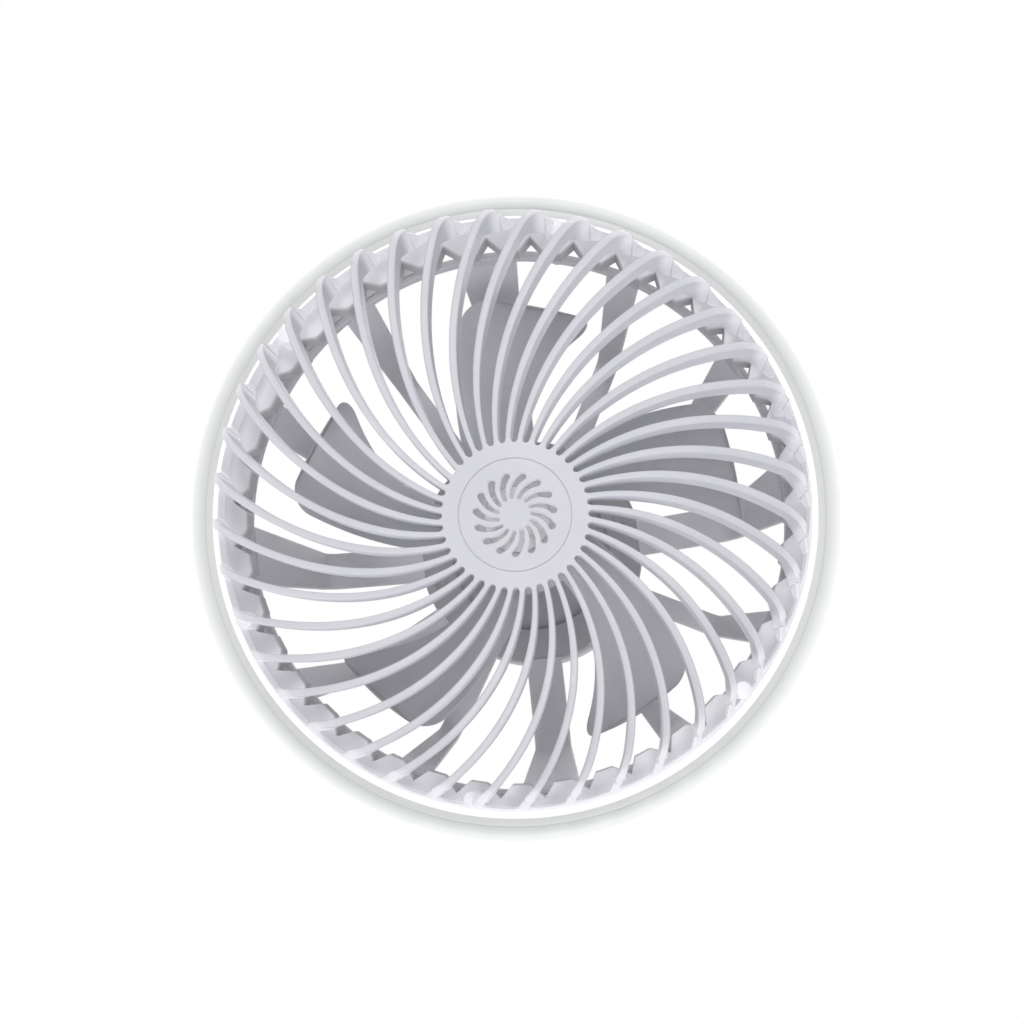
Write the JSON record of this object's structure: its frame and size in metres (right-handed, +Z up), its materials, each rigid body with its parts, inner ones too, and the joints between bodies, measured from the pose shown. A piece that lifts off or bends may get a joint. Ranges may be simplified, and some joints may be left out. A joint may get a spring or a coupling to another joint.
{
  "type": "battery ceiling fan with ring light",
  "caption": "Battery ceiling fan: swept blades behind a dished grille of swirling ribs, a ring light around it, and a round battery pod that twists onto a ceiling plate.",
  "frame": {"origin": "centre of the ceiling plate's top face, on the ceiling", "axes": "+Z up into the ceiling, -Z toward the room, -Y the side of the pod with the buttons and the charging socket"},
  "size_m": [0.26, 0.26, 0.1701],
  "materials": {
    "plate_white": "satin white",
    "pod_white": "satin white",
    "guard_white": "satin white",
    "rotor_white": "satin white",
    "grille_white": "satin white",
    "ring_white": "soft white, lets some light through",
    "band_glow": "milky diffuser",
    "button_grey": "satin grey",
    "pin_clear": "clear light pin",
    "screw_steel": "zinc plated",
    "bright_steel": "polished",
    "bearing_steel": "ground",
    "can_steel": "drawn steel",
    "base_alloy": "cast",
    "core_iron": "stacked sheets",
    "magnet_dark": "sintered",
    "winding_copper": "enamelled wire",
    "lead_sheath": "soft sheath",
    "cell_wrap": "shrink sleeve",
    "cradle_black": "satin black",
    "board_green": "solder mask",
    "board_white": "white solder mask",
    "chip_yellow": "resin lens"
  },
  "bodies": {
    "ceiling_mount": {"ceiling_plate": "plate_white"},
    "fan_body": {"pod_shell": "pod_white", "pod_cover": "pod_white", "motor_stem": "guard_white", "guard_collar": "guard_white", "guard_stays": "guard_white", "rear_hoop": "guard_white", "front_grille": "grille_white", "hub_cap": "grille_white", "ring_housing": "ring_white", "light_diffuser": "band_glow", "charge_light": "pin_clear", "cover_screws": "screw_steel", "guard_screws": "screw_steel", "stem_screws": "screw_steel", "ring_screws": "screw_steel", "charging_socket": "bright_steel", "motor_bearings": "bearing_steel", "cell_contacts": "bearing_steel", "motor_base": "base_alloy", "stator_core": "core_iron", "stator_windings": "winding_copper", "motor_lead": "lead_sheath", "battery_cells": "cell_wrap", "cell_cradle": "cradle_black", "board_chips": "cradle_black", "tact_switches": "cradle_black", "control_board": "board_green", "led_board": "board_white", "led_chips": "chip_yellow"},
    "rotor": {"motor_can": "can_steel", "magnet_ring": "magnet_dark", "motor_shaft": "bright_steel", "shaft_clip": "bright_steel", "fan_rotor": "rotor_white", "rotor_washer": "bright_steel", "rotor_nut": "bright_steel"},
    "speed_key": {"speed_button": "button_grey"},
    "light_key": {"light_button": "button_grey"}
  },
  "joints": [
    {"name": "twist_lock", "type": "hinge", "parent": "ceiling_mount", "child": "fan_body", "pos_m": [0, 0, 0], "axis": [0, 0, 1], "range_deg": [0, 45]},
    {"name": "rotor_spin", "type": "hinge", "parent": "fan_body", "child": "rotor", "pos_m": [0, 0, -0.12], "axis": [0, 0, 1], "continuous": true},
    {"name": "speed_press", "type": "slide", "parent": "fan_body", "child": "speed_key", "axis": [0, 1, 0], "range_m": [0, 0.0007], "stiffness_N_per_m": 2500},
    {"name": "light_press", "type": "slide", "parent": "fan_body", "child": "light_key", "axis": [0, 1, 0], "range_m": [0, 0.0007], "stiffness_N_per_m": 2500}
  ]
}
